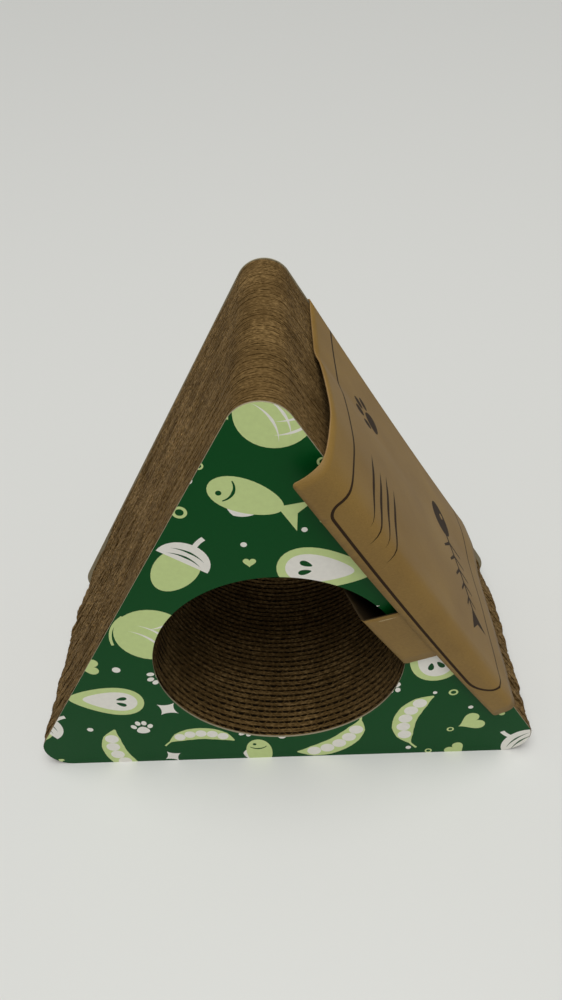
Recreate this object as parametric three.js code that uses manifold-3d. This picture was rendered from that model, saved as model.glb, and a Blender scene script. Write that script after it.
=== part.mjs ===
// Triangular cat scratcher: corrugated card sheets glued into a block with a round tunnel through it,
// a printed cover on each end, and a folded kraft-board sleeve that hangs round the right leg.
// Millimetres, +Z up. The front faces -Y, and the origin is on the floor under the middle of the block.
import * as THREE from "three";
import { mergeVertices } from "three/addons/utils/BufferGeometryUtils.js";
import Module from "manifold-3d";

// Driving dimensions of the block
const BASE_WIDTH = 330; // base of the triangle between its sharp corners
const BASE_ANGLE = THREE.MathUtils.degToRad(60); // between the base and a slanted face
const CORNER_RADIUS = 16.5;
const BASE_WALL = 22.5; // card under the tunnel, at its thinnest
const LEG_WALL = 25; // card between the tunnel and a slanted face, at its thinnest
const SHEET_COUNT = 37;
const SHEET_THICKNESS = 3.95; // C-flute board
const COVER_THICKNESS = 1;
const GLUE_LINE = 0.05; // between one sheet and the next

// Driving dimensions of the sleeve
const SLEEVE_BOARD = 0.8; // thickness of the kraft board
const SLEEVE_GAP = 0.3; // clearance between the sleeve and the card
const PANEL_LENGTH = 222; // outer panel, measured up the slanted face
const PANEL_RISE = 2.5; // its middle, above the thinnest place of the leg
const PANEL_CROWN = 4; // how far its middle bows off the slanted face
const LIP_WIDTH = 18.5; // board of the panel that is bent over the front and back of the block
const LIP_BEND_RADIUS = 5;
const LIP_FOLD = THREE.MathUtils.degToRad(80);
const STRAP_WIDTH = 44.5;
const INNER_PANEL_STANDOFF = 10.5; // from the tunnel wall to the inner panel, at the widest
const SLEEVE_TRAVEL = 13; // how far the sleeve can be pushed up the leg

// Facets
const CORNER_ARC_STEPS = 4; // each rounded corner gets twice as many facets
const TUNNEL_FACETS = 48;
const CROWN_STEPS = 8; // across half of the outer panel
const BEND_STEPS = 6; // round the bend of a lip

// Finishes
const CARD = { color: 0x8c6d48, roughness: 0.9, metalness: 0 };
const PRINTED_CARD = { color: 0x1f4a33, roughness: 0.55, metalness: 0 };
const KRAFT_BOARD = { color: 0x86673f, roughness: 0.75, metalness: 0 };

// Triangle, tunnel and depth that follow from the driving dimensions
const HEIGHT = BASE_WIDTH / 2 * Math.tan(BASE_ANGLE);
const SLOPE_NORMAL = new THREE.Vector3(Math.sin(BASE_ANGLE), 0, Math.cos(BASE_ANGLE));
const SLOPE_UP = new THREE.Vector3(-Math.cos(BASE_ANGLE), 0, Math.sin(BASE_ANGLE));
const FACE_OFFSET = SLOPE_NORMAL.x * BASE_WIDTH / 2; // slanted face from the origin, along its normal
const TUNNEL_RADIUS = (FACE_OFFSET - LEG_WALL - SLOPE_NORMAL.z * BASE_WALL) / (1 + SLOPE_NORMAL.z);
const TUNNEL_HEIGHT = BASE_WALL + TUNNEL_RADIUS;
const STACK_DEPTH = SHEET_COUNT * SHEET_THICKNESS + (SHEET_COUNT - 1) * GLUE_LINE;
const HALF_DEPTH = STACK_DEPTH / 2 + GLUE_LINE + COVER_THICKNESS;

const wasm = await Module();
wasm.setup();

function makeSolid(geometry) {
  const bare = geometry.clone();
  bare.deleteAttribute("normal");
  bare.deleteAttribute("uv");
  const merged = mergeVertices(bare);
  const vertProperties = new Float32Array(merged.attributes.position.array);
  const triVerts = new Uint32Array(merged.index.array);
  return new wasm.Manifold(new wasm.Mesh({ numProp: 3, vertProperties, triVerts }));
}

function makeGeometry(solid) {
  const mesh = solid.getMesh();
  const geometry = new THREE.BufferGeometry();
  geometry.setAttribute("position", new THREE.BufferAttribute(new Float32Array(mesh.vertProperties), 3));
  geometry.setIndex(new THREE.BufferAttribute(new Uint32Array(mesh.triVerts), 1));
  geometry.computeVertexNormals();
  return geometry;
}

function makeMesh(name, geometry, finish) {
  const mesh = new THREE.Mesh(geometry, new THREE.MeshStandardMaterial(finish));
  mesh.name = name;
  return mesh;
}

// Outline of one sheet, drawn in X and Z: a triangle with rounded corners and the tunnel's hole.
function sheetOutline() {
  const cornerX = BASE_WIDTH / 2 - CORNER_RADIUS / Math.tan(BASE_ANGLE / 2);
  const apexZ = HEIGHT - CORNER_RADIUS / Math.cos(BASE_ANGLE);
  const up = Math.PI / 2;
  const outline = new THREE.Shape();
  outline.absarc(cornerX, CORNER_RADIUS, CORNER_RADIUS, -up, up - BASE_ANGLE);
  outline.absarc(0, apexZ, CORNER_RADIUS, up - BASE_ANGLE, up + BASE_ANGLE);
  outline.absarc(-cornerX, CORNER_RADIUS, CORNER_RADIUS, up + BASE_ANGLE, 3 * up);
  outline.closePath();
  const circle = new THREE.EllipseCurve(0, TUNNEL_HEIGHT, TUNNEL_RADIUS, TUNNEL_RADIUS);
  outline.holes.push(new THREE.Path(circle.getPoints(TUNNEL_FACETS).slice(0, -1)));
  return outline;
}

// A sheet stands upright, with its front face at the given depth.
function makeSheet(name, front, thickness, finish) {
  const settings = { depth: thickness, bevelEnabled: false, curveSegments: CORNER_ARC_STEPS };
  const geometry = new THREE.ExtrudeGeometry(sheetOutline(), settings).rotateX(Math.PI / 2);
  const sheet = makeMesh(name, geometry, finish);
  sheet.position.y = front + thickness;
  return sheet;
}

function makeBlock() {
  const block = new THREE.Group();
  block.add(makeSheet("front_cover", -HALF_DEPTH, COVER_THICKNESS, PRINTED_CARD));
  for (let index = 0; index < SHEET_COUNT; index += 1) {
    const name = `sheet_${String(index + 1).padStart(2, "0")}`;
    const front = index * (SHEET_THICKNESS + GLUE_LINE) - STACK_DEPTH / 2;
    block.add(makeSheet(name, front, SHEET_THICKNESS, CARD));
  }
  block.add(makeSheet("back_cover", HALF_DEPTH - COVER_THICKNESS, COVER_THICKNESS, PRINTED_CARD));
  return block;
}

// The sleeve is drawn in its own frame, which stands on the slanted face where the leg is thinnest:
// X runs through the depth of the block, Y up the slope and Z away from the face.
const LEG_FACE = FACE_OFFSET - SLOPE_NORMAL.z * TUNNEL_HEIGHT; // slanted face from the tunnel's axis
const PANEL_SEAT = SLEEVE_GAP + SLEEVE_BOARD / 2;
const CHORD = TUNNEL_RADIUS - INNER_PANEL_STANDOFF; // inner panel's wall side from the tunnel's axis
const TUNNEL_CLEAR = TUNNEL_RADIUS * Math.cos(Math.PI / TUNNEL_FACETS) - SLEEVE_GAP;
const INNER_BOTTOM = -Math.sqrt(TUNNEL_CLEAR ** 2 - CHORD ** 2); // where it rests on the tunnel wall
const INNER_TOP = -INNER_BOTTOM - SLEEVE_TRAVEL;
const INNER_DEPTH = CHORD - SLEEVE_BOARD / 2 - LEG_FACE; // middle of the inner panel's board
const STRAP_BOTTOM = INNER_BOTTOM;
const STRAP_TOP = STRAP_BOTTOM + STRAP_WIDTH;
const PANEL_BOTTOM = PANEL_RISE - PANEL_LENGTH / 2;
const PANEL_TOP = PANEL_RISE + PANEL_LENGTH / 2;
const LIP_START = HALF_DEPTH + SLEEVE_GAP;

// Middle line of the outer panel's board, seen edge-on in X and Z: bowed off the slanted face between
// the front and back of the block, then bent down into a lip on each side.
function panelLine() {
  const half = [];
  for (let step = 0; step <= CROWN_STEPS; step += 1) {
    const share = step / CROWN_STEPS;
    half.push(new THREE.Vector2(LIP_START * share, PANEL_SEAT + PANEL_CROWN * (1 - share ** 2)));
  }
  for (let step = 1; step <= BEND_STEPS; step += 1) {
    const turn = LIP_FOLD * step / BEND_STEPS;
    const drop = LIP_BEND_RADIUS * (1 - Math.cos(turn));
    half.push(new THREE.Vector2(LIP_START + LIP_BEND_RADIUS * Math.sin(turn), PANEL_SEAT - drop));
  }
  const flat = LIP_WIDTH - LIP_BEND_RADIUS * LIP_FOLD;
  const lip = new THREE.Vector2(Math.cos(LIP_FOLD), -Math.sin(LIP_FOLD)).multiplyScalar(flat);
  half.push(half.at(-1).clone().add(lip));
  return [...mirrorLine(half.slice(1)), ...half];
}

// The straps run from the lips' edges, past the front and back of the block, into the tunnel.
function strapLine() {
  const edge = panelLine().at(-1);
  const fold = innerLine().at(-1);
  const joined = edge.clone().sub(fold).setLength(SLEEVE_BOARD / 2).add(edge);
  return [...mirrorLine([fold, joined]), fold, joined];
}

// The inner panel lies across the tunnel as a chord.
function innerLine() {
  const fold = new THREE.Vector2(LIP_START + SLEEVE_BOARD / 2, INNER_DEPTH);
  return [...mirrorLine([fold]), fold];
}

function mirrorLine(line) {
  return line.map((point) => new THREE.Vector2(-point.x, point.y)).reverse();
}

// Outline of a bent board seen edge-on: its middle line, thickened to both sides with mitred corners.
function boardOutline(line) {
  const normals = line.slice(1).map((point, index) => {
    const along = point.clone().sub(line[index]).normalize();
    return new THREE.Vector2(-along.y, along.x);
  });
  const mitres = line.map((point, index) => {
    const before = normals[Math.max(index - 1, 0)];
    const after = normals[Math.min(index, normals.length - 1)];
    const reach = SLEEVE_BOARD / 2 / (1 + before.dot(after));
    return before.clone().add(after).multiplyScalar(reach);
  });
  const upper = line.map((point, index) => point.clone().add(mitres[index]));
  const lower = line.map((point, index) => point.clone().sub(mitres[index]));
  return new THREE.Shape([...upper, ...lower.reverse()]);
}

// A bent board between two heights on the slope.
function makeBoard(line, bottom, top) {
  const settings = { depth: top - bottom, bevelEnabled: false };
  const board = new THREE.ExtrudeGeometry(boardOutline(line), settings);
  return makeSolid(board.rotateX(Math.PI / 2).translate(0, top, 0));
}

function makeSleeve() {
  const outerPanel = makeBoard(panelLine(), PANEL_BOTTOM, PANEL_TOP);
  const straps = makeBoard(strapLine(), STRAP_BOTTOM, STRAP_TOP);
  const innerPanel = makeBoard(innerLine(), INNER_BOTTOM, INNER_TOP);
  const blank = outerPanel.add(straps).add(innerPanel);
  const sleeve = makeMesh("sleeve", makeGeometry(blank), KRAFT_BOARD);
  const depthAxis = new THREE.Vector3(0, 1, 0);
  const frame = new THREE.Matrix4().makeBasis(depthAxis, SLOPE_UP, SLOPE_NORMAL);
  sleeve.quaternion.setFromRotationMatrix(frame);
  sleeve.position.set(0, 0, TUNNEL_HEIGHT).addScaledVector(SLOPE_NORMAL, LEG_FACE);
  return sleeve;
}

const scratcher = new THREE.Group();
scratcher.add(makeBlock(), makeSleeve());

export default scratcher;
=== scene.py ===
# %% [markdown]
# # A triangular cat scratcher
# The object is a stack of corrugated card sheets with a round tunnel, a printed cover on each end and a
# loose kraft-board sleeve round one leg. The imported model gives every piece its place, so this script
# loads that first and never moves it. Each later cell makes one finish or one kind of piece.

# %% Load the frame
import math
import random

import bmesh
import bpy
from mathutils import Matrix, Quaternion, Vector
from mathutils.geometry import delaunay_2d_cdt


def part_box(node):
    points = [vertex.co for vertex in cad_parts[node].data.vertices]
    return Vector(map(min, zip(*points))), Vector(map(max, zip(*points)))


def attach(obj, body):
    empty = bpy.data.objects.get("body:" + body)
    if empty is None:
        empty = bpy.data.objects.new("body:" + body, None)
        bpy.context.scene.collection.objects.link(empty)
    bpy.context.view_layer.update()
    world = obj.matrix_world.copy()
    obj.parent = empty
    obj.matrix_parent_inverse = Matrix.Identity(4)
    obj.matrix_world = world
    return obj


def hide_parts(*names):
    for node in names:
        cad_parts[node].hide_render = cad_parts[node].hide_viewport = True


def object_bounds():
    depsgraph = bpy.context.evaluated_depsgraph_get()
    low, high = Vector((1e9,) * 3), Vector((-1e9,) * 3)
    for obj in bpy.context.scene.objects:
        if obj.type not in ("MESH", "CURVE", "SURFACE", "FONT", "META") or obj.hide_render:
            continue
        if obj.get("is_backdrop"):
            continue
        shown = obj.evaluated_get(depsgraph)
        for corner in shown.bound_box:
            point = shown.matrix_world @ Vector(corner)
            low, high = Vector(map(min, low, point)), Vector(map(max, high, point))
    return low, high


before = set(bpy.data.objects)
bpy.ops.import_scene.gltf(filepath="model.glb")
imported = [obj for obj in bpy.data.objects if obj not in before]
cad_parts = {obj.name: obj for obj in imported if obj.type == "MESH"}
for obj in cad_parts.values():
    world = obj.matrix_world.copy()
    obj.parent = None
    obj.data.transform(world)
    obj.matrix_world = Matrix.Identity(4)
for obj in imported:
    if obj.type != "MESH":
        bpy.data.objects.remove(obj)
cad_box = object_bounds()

MM = 0.001

# %% [markdown]
# ## Camera
# The picture was taken by hand from above the front, close enough for a strong perspective. A camera can
# be set by eye, but here its place and three angles were solved from the block's corners and its round
# tunnel, so that the render lines up with the photograph without any shift.

# %% Camera
PICTURE_HEIGHT_PX = 1000
FOCAL_LENGTH_PX = 769
SENSOR_MM = 36
CAMERA_PLACE_MM = Vector((16.8, -347.3, 443.9))
CAMERA_YAW = math.radians(-2.05)
CAMERA_PITCH = math.radians(39.99)
CAMERA_ROLL = math.radians(-3.65)

look = Vector((
    math.sin(CAMERA_YAW) * math.cos(CAMERA_PITCH),
    math.cos(CAMERA_YAW) * math.cos(CAMERA_PITCH),
    -math.sin(CAMERA_PITCH),
))
camera = bpy.data.objects.new("camera", bpy.data.cameras.new("camera"))
camera.data.sensor_width = SENSOR_MM
camera.data.lens = FOCAL_LENGTH_PX * SENSOR_MM / PICTURE_HEIGHT_PX
camera.data.clip_start = 10 * MM
camera.location = CAMERA_PLACE_MM * MM
camera.rotation_mode = "QUATERNION"
camera.rotation_quaternion = look.to_track_quat("-Z", "Y") @ Quaternion((0, 0, 1), CAMERA_ROLL)
bpy.context.collection.objects.link(camera)
bpy.context.scene.camera = camera
print(f"camera: {camera.data.lens:.1f} mm lens")

# %% [markdown]
# ## Nodes and colours
# Materials and Geometry Nodes trees are both node trees, so one small function adds a node to either. A
# colour is written as the sRGB hex value that the eye knows, and turned into the linear light that
# shaders work in.

# %% Nodes and colours
def linear(hex_colour):
    shares = [int(hex_colour[place:place + 2], 16) / 255 for place in (1, 3, 5)]
    return [s / 12.92 if s <= 0.04045 else ((s + 0.055) / 1.055) ** 2.4 for s in shares] + [1.0]


def add(tree, kind, inputs=(), **settings):
    """Adds a node. A list fills its sockets in order, and a dict by name or number. A value that is a
    node or a socket is linked."""
    node = tree.nodes.new(kind)
    for name, value in settings.items():
        setattr(node, name, value)
    for key, value in inputs.items() if isinstance(inputs, dict) else enumerate(inputs):
        source = value.outputs[0] if isinstance(value, bpy.types.Node) else value
        if isinstance(source, bpy.types.NodeSocket):
            tree.links.new(source, node.inputs[key])
        elif source is not None:
            node.inputs[key].default_value = source
    return node


def new_material(name, roughness, gloss):
    material = bpy.data.materials.new(name)
    material.use_nodes = True
    shader = material.node_tree.nodes["Principled BSDF"]
    shader.inputs["Roughness"].default_value = roughness
    shader.inputs["Specular IOR Level"].default_value = gloss
    return material, material.node_tree, shader


print("helpers: linear, add, new_material")

# %% [markdown]
# ## Floor and light
# A white floor in a pale room: a wide soft sun stands for a bright ceiling, and the world for the walls,
# which are brighter on the camera's side than behind the object. The sun leans towards the camera, so
# that it shines a little way into the tunnel and leaves the far end dark. It lights the whole floor alike,
# which keeps the background pale. The floor throws much of that light back on the front, and its faint
# gloss mirrors the object a little where they meet. Where a view shows the world itself, it is an even
# pale grey.

# %% Floor and light
FLOOR_SIDE = 12.0
FLOOR_WHITE = "#d9d9d4"
SUN_FROM = Vector((0.0, -0.2, 1))
SUN_STRENGTH = 2.5
SUN_SOFTNESS = math.radians(50)
WORLD_GREY = "#e2e4e6"
WORLD_BRIGHT_SIDE = Vector((-0.15, -0.75, 0.65))
WORLD_FACING = (-0.7, 1.0)
WORLD_STRENGTH = (0.05, 0.4)
BACKDROP_STRENGTH = 0.8

floor_mesh = bpy.data.meshes.new("floor")
floor_corners = [(-1, -1), (1, -1), (1, 1), (-1, 1)]
floor_mesh.from_pydata([Vector((x, y, 0)) * FLOOR_SIDE / 2 for x, y in floor_corners], [], [(0, 1, 2, 3)])
floor = bpy.data.objects.new("floor", floor_mesh)
bpy.context.collection.objects.link(floor)
floor_material, tree, shader = new_material("white laminate floor", roughness=0.42, gloss=0.35)
shader.inputs["Base Color"].default_value = linear(FLOOR_WHITE)
floor_mesh.materials.append(floor_material)
floor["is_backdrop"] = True

sun = bpy.data.objects.new("soft_sun", bpy.data.lights.new("soft_sun", "SUN"))
sun.data.energy = SUN_STRENGTH
sun.data.angle = SUN_SOFTNESS
sun.rotation_mode = "QUATERNION"
sun.rotation_quaternion = SUN_FROM.to_track_quat("Z", "Y")
bpy.context.collection.objects.link(sun)

world = bpy.context.scene.world or bpy.data.worlds.new("world")
bpy.context.scene.world = world
world.use_nodes = True
tree = world.node_tree
backdrop = tree.nodes["Background"]
backdrop.inputs["Color"].default_value = linear(WORLD_GREY)
way = add(tree, "ShaderNodeTexCoord").outputs["Generated"]
facing = add(tree, "ShaderNodeVectorMath", [way, WORLD_BRIGHT_SIDE.normalized()], operation="DOT_PRODUCT")
strength = add(tree, "ShaderNodeMapRange", [facing.outputs["Value"], *WORLD_FACING, *WORLD_STRENGTH])
to_camera = add(tree, "ShaderNodeLightPath").outputs["Is Camera Ray"]
shown = add(tree, "ShaderNodeMix", {0: to_camera, 2: strength, 3: BACKDROP_STRENGTH})
tree.links.new(shown.outputs[0], backdrop.inputs["Strength"])
bpy.context.scene.view_settings.view_transform = "Standard"
print("stage: floor, sun, world")

# %% [markdown]
# ## The block's outline
# Every sheet and cover is the same triangle with rounded corners and a round hole. The sizes below repeat
# the model's driving dimensions in millimetres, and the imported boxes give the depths. The outline is cut
# into upright stations: at each x it knows the height of the base, of the tunnel's floor and ceiling, and
# of the slanted faces. The tunnel's radius follows from the walls round it, to the nearest tenth, so that
# a station can stand exactly at its side. The leg's foot is the place on the right slanted face where
# the leg is thinnest.

# %% The block's outline
BASE_WIDTH = 330
BASE_ANGLE = math.radians(60)
CORNER_RADIUS = 16.5
BASE_WALL = 22.5
LEG_WALL = 25
SLOPE_OUT = Vector((math.sin(BASE_ANGLE), 0, math.cos(BASE_ANGLE)))
SLOPE_UP = Vector((-math.cos(BASE_ANGLE), 0, math.sin(BASE_ANGLE)))
TUNNEL_ROOM = SLOPE_OUT.x * BASE_WIDTH / 2 - LEG_WALL - SLOPE_OUT.z * BASE_WALL
TUNNEL_RADIUS = round(TUNNEL_ROOM / (1 + SLOPE_OUT.z), 1)
TUNNEL_HEIGHT = BASE_WALL + TUNNEL_RADIUS
LEG_FOOT = Vector((0, 0, TUNNEL_HEIGHT)) + SLOPE_OUT * (TUNNEL_RADIUS + LEG_WALL)
HEIGHT = BASE_WIDTH / 2 * math.tan(BASE_ANGLE)
CORNER_X = BASE_WIDTH / 2 - CORNER_RADIUS / math.tan(BASE_ANGLE / 2)
APEX_Z = HEIGHT - CORNER_RADIUS / math.cos(BASE_ANGLE)
ARC_REACH = CORNER_RADIUS * math.sin(BASE_ANGLE)
FRONT_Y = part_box("front_cover")[0].y / MM
BACK_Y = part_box("back_cover")[1].y / MM


def chord(radius, offset):
    """Half of a circle's chord at an offset from its centre."""
    return math.sqrt(max(radius ** 2 - offset ** 2, 0))


def base_height(x):
    return CORNER_RADIUS - chord(CORNER_RADIUS, max(abs(x) - CORNER_X, 0))


def face_height(x):
    if abs(x) < ARC_REACH:
        return APEX_Z + chord(CORNER_RADIUS, x)
    if abs(x) > CORNER_X + ARC_REACH:
        return CORNER_RADIUS + chord(CORNER_RADIUS, abs(x) - CORNER_X)
    return (BASE_WIDTH / 2 - abs(x)) * math.tan(BASE_ANGLE)


def face_normal(x):
    """Outward direction of the slanted faces and of the rounded corners above and below them."""
    if abs(x) < ARC_REACH:
        return Vector((x, 0, chord(CORNER_RADIUS, x))).normalized()
    if abs(x) > CORNER_X + ARC_REACH:
        reach = abs(x) - CORNER_X
        return Vector((math.copysign(reach, x), 0, chord(CORNER_RADIUS, reach))).normalized()
    return Vector((math.copysign(math.sin(BASE_ANGLE), x), 0, math.cos(BASE_ANGLE)))


def base_normal(x):
    """Outward direction of the base, which turns up round its corners."""
    past = max(abs(x) - CORNER_X, 0)
    return Vector((math.copysign(past, x), 0, -chord(CORNER_RADIUS, past))).normalized()


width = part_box("front_cover")[1].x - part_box("front_cover")[0].x
print(f"outline: {2 * (CORNER_X + CORNER_RADIUS):.2f} mm wide, packed model {width / MM:.2f} mm")

# %% [markdown]
# ## Corrugated card
# The card is brown kraft paper: two flat liners with a waved middle sheet glued between them. Where it was
# cut, the liners are torn into a soft pale fuzz, the thinner middle sheet stays darker, and little light
# gets down into the flutes, so a few millimetres inside the cut the colour turns dark as painted shade. The
# sheets carry two attributes for this: "rim" is one at a cut edge and zero a few millimetres inside, and
# "liner" tells the liners from the middle sheet. At the apex there are fewer pale tufts, for a cleaner cut
# and as painted shade on the top, which the sun lights most, and there are fewer on the front sheets than
# further back. Fibres are finer than a pixel here, so they are drawn about a millimetre wide to show.

# %% Corrugated card
# The first colour is painted shade, for the dark inside of the flutes.
CARD_FLUTE_SHADE = "#20170b"
CARD_DARK = "#483517"
CARD_LIGHT = "#775d34"
CARD_CREST = "#c2a06a"
FIBRE_WIDTH = 1.2
FIBRE_LENGTH = 2.2
PULP_PATCH = 22
PULP_CONTRAST, PULP_LEAST = 0.4, 0.3
PAPER_RANGE = (0.04, 0.5)
TUFT_RANGE = (0.23, 0.54)
LIT_RIM = 0.75
# Fewer pale tufts at the apex stand for a cleaner cut and are also painted shade, darkening the top that
# the sun lights most. Fewer on the front sheets than further back.
TUFTS_DIMMED = [
    ("Z", (205, 262), (1.0, 0.55)),
    ("Y", (-48, -15), (0.7, 1.15)),
]

card, tree, shader = new_material("corrugated kraft card", roughness=0.92, gloss=0.15)
place = add(tree, "ShaderNodeTexCoord").outputs["Object"]
fibre_scale = [1 / (FIBRE_LENGTH * MM), 1 / (FIBRE_WIDTH * MM), 1 / (FIBRE_LENGTH * MM)]
stretched = add(tree, "ShaderNodeVectorMath", [place, fibre_scale], operation="MULTIPLY")
fibres = add(tree, "ShaderNodeTexNoise", {"Vector": stretched, "Scale": 1.0, "Detail": 3.0})
patches = add(tree, "ShaderNodeTexNoise", {"Vector": place, "Scale": 1 / (PULP_PATCH * MM), "Detail": 4.0})
weak_patches = add(tree, "ShaderNodeMath", [patches, PULP_CONTRAST, PULP_LEAST], operation="MULTIPLY_ADD")
mottle = add(tree, "ShaderNodeMath", [fibres, weak_patches], operation="MULTIPLY")
paler, tufts = [add(tree, "ShaderNodeMapRange", [mottle, *ends]) for ends in (PAPER_RANGE, TUFT_RANGE)]
liner = add(tree, "ShaderNodeAttribute", attribute_name="liner").outputs["Fac"]
crests = add(tree, "ShaderNodeMath", [liner, tufts], operation="MULTIPLY")
sides = add(tree, "ShaderNodeSeparateXYZ", [place]).outputs
for side, places, shares in TUFTS_DIMMED:
    ends = [at * MM for at in places]
    left = add(tree, "ShaderNodeMapRange", [sides[side], *ends, *shares])
    crests = add(tree, "ShaderNodeMath", [crests, left], operation="MULTIPLY")
rim = add(tree, "ShaderNodeAttribute", attribute_name="rim").outputs["Fac"]
# Painted shade: where "rim" falls, a few millimetres inside the cut and in the tunnel, the colour turns to
# the dark of the flutes.
shade = add(tree, "ShaderNodeMapRange", [rim, 0, LIT_RIM, 1, 0])
colour = linear(CARD_DARK)
for share, tone in ((paler, CARD_LIGHT), (crests, CARD_CREST), (shade, CARD_FLUTE_SHADE)):
    mix = add(tree, "ShaderNodeMix", {0: share, 6: colour, 7: linear(tone)}, data_type="RGBA")
    colour = mix.outputs[2]
bump = add(tree, "ShaderNodeBump", {"Height": fibres, "Distance": 0.15 * MM, "Strength": 0.6})
tree.links.new(colour, shader.inputs["Base Color"])
tree.links.new(bump.outputs[0], shader.inputs["Normal"])
print("material:", card.name)

# %% [markdown]
# ## The cutting plan of a sheet
# All sheets start from one flat plan: a ribbon under the tunnel and one over it, with a column of faces for
# each station. The stations are close enough to draw a flute, and crowd together where the tunnel stands
# upright. The plan tells the tree what it can't know: how worn a cut edge is and how far its colour is lit,
# where a low value paints shade ("rim", which is less in the tunnel, and least on its ceiling, so that the
# tunnel and most of all its ceiling are painted darker), which way is out ("outward") and where nothing
# lies against the cut, so that loose fibres may stand up ("fuzz").

# %% The cutting plan of a sheet
FLUTE_PITCH = 7.9
STATIONS_PER_FLUTE = 6
TUNNEL_STEP, TUNNEL_STEPS = math.radians(2.5), 12
CORNER_STEP, CORNER_STEPS = math.radians(15), 4
# The tunnel's cut edges get a lower rim: they fray less, and their colour is painted in shade, darkest on
# the ceiling.
TUNNEL_RIM = 0.49
TUNNEL_WEAR_AND_SHADE = 0.13
TUNNEL_FUZZ = 0.25
RIM_DEPTH = 3.5
STEEPEST = 0.3
DEEPEST_ROW = 0.4
LEAST_HEIGHT = 0.05
LEAST_FUZZ_HEIGHT = 5
SLEEVE_LOW, SLEEVE_HIGH = -118, 128


def stations():
    half = CORNER_X + CORNER_RADIUS
    step = FLUTE_PITCH / STATIONS_PER_FLUTE
    places = [step * count for count in range(int(half / step) + 1)]
    turns = [TUNNEL_STEP * count for count in range(TUNNEL_STEPS + 1)]
    places = [x for x in places if abs(x - TUNNEL_RADIUS) > TUNNEL_RADIUS * (1 - math.cos(turns[-1]))]
    places += [TUNNEL_RADIUS * math.cos(turn) for turn in turns]
    corner_turns = [CORNER_STEP * count for count in range(CORNER_STEPS + 1)]
    places += [CORNER_X + CORNER_RADIUS * math.cos(turn) for turn in corner_turns]
    places.append(ARC_REACH)
    places = sorted({round(x, 3) for x in places})
    return [-x for x in reversed(places) if x > 0] + places


def under_sleeve(x, z):
    rise = (Vector((x, 0, z)) - LEG_FOOT).dot(SLOPE_UP)
    return x > 0 and SLEEVE_LOW < rise < SLEEVE_HIGH


def band_edges(x, upper):
    """Lower and upper end of one band at a station: height, rim, fuzz and outward direction of each."""
    opening = chord(TUNNEL_RADIUS, x)
    top = face_height(x)
    inward = -1 if upper else 1
    if abs(x) <= TUNNEL_RADIUS:
        middle = TUNNEL_HEIGHT - inward * opening
        # A lower rim in the tunnel frays the edge less and paints its colour in shade, more towards the
        # ceiling.
        worn = TUNNEL_RIM + TUNNEL_WEAR_AND_SHADE * inward * opening / TUNNEL_RADIUS
        tunnel = (middle, worn, TUNNEL_FUZZ, Vector((-x, 0, inward * opening)).normalized())
    else:
        near = 1 - min(max((top - TUNNEL_HEIGHT) / (2 * RIM_DEPTH), 0), 1)
        tunnel = (min(TUNNEL_HEIGHT, top), near, 0, face_normal(x))
    outer = (top, 1, 0 if under_sleeve(x, top) or top < LEAST_FUZZ_HEIGHT else 1, face_normal(x))
    if upper:
        return tunnel, outer
    base = (base_height(x), 1, 0, base_normal(x))
    return base, outer if top <= TUNNEL_HEIGHT and opening == 0 else tunnel


def plan_rows(x, low_end, high_end):
    """The two ends of a band and two more rows inside them, where the cut's colour has turned to painted
    shade, or less so near the tip of a corner. A row lies deeper on a steep edge, but not past its share of
    the band."""
    inner = []
    span = high_end[0] - low_end[0]
    tip = max(abs(x) - CORNER_X, 0) / CORNER_RADIUS
    for (height, rim_share, _, out), way in ((low_end, 1), (high_end, -1)):
        shade_depth = RIM_DEPTH / max(abs(out.z), STEEPEST)
        inset = min(shade_depth, DEEPEST_ROW * span)
        inner.append((height + way * inset, rim_share * max(1 - inset / shade_depth, tip ** 2), 0, out))
    return [low_end, *inner, high_end]


def make_plan():
    places, faces, rims, fuzz, outward = [], [], [], [], []
    for upper in (False, True):
        columns = [(x, plan_rows(x, *band_edges(x, upper))) for x in stations()]
        first = len(places)
        for x, rows in columns:
            for height, rim_share, fuzz_share, out in rows:
                places.append(Vector((x, 0, height)) * MM)
                rims.append(rim_share)
                fuzz.append(fuzz_share)
                outward.append(out)
        for column, ((_, left), (_, right)) in enumerate(zip(columns, columns[1:])):
            if max(left[-1][0] - left[0][0], right[-1][0] - right[0][0]) > LEAST_HEIGHT:
                for row in range(3):
                    corner = first + 4 * column + row
                    faces.append((corner, corner + 4, corner + 5, corner + 1))
    mesh = bpy.data.meshes.new("sheet plan")
    mesh.from_pydata(places, [], faces)
    mesh.attributes.new("rim", "FLOAT", "POINT").data.foreach_set("value", rims)
    mesh.attributes.new("fuzz", "FLOAT", "POINT").data.foreach_set("value", fuzz)
    flat = [share for out in outward for share in out]
    mesh.attributes.new("outward", "FLOAT_VECTOR", "POINT").data.foreach_set("vector", flat)
    return mesh


plan = make_plan()
print(f"plan: {len(plan.vertices)} points, {len(plan.polygons)} faces, {len(stations())} stations")

# %% [markdown]
# ## A corrugated sheet, in Geometry Nodes
# A sheet could be drawn as a plate with a striped texture, but then its cut edge would have no depth.
# Here a tree builds it the way it is made: three layers of paper from one plan, then the cut edges torn
# and worn, then the paper's thickness, and last some loose slivers. Each step below is a function that
# adds its nodes to the tree, and the tree's inputs are the sizes that a sheet is given.

# %% The inputs of a sheet
SHEET_INPUTS = {
    "NodeSocketFloat": [
        "Front", "Thickness", "Paper", "Burr", "Middle Inset", "Flute Pitch", "Phase", "Inset",
        "Fray", "Fray Length", "Wear", "Wear Length", "Fuzz Share", "Fuzz Length",
    ],
    "NodeSocketInt": ["Seed"],
    "NodeSocketMaterial": ["Material"],
}
print("inputs of a sheet:", sum(len(names) for names in SHEET_INPUTS.values()))

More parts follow.
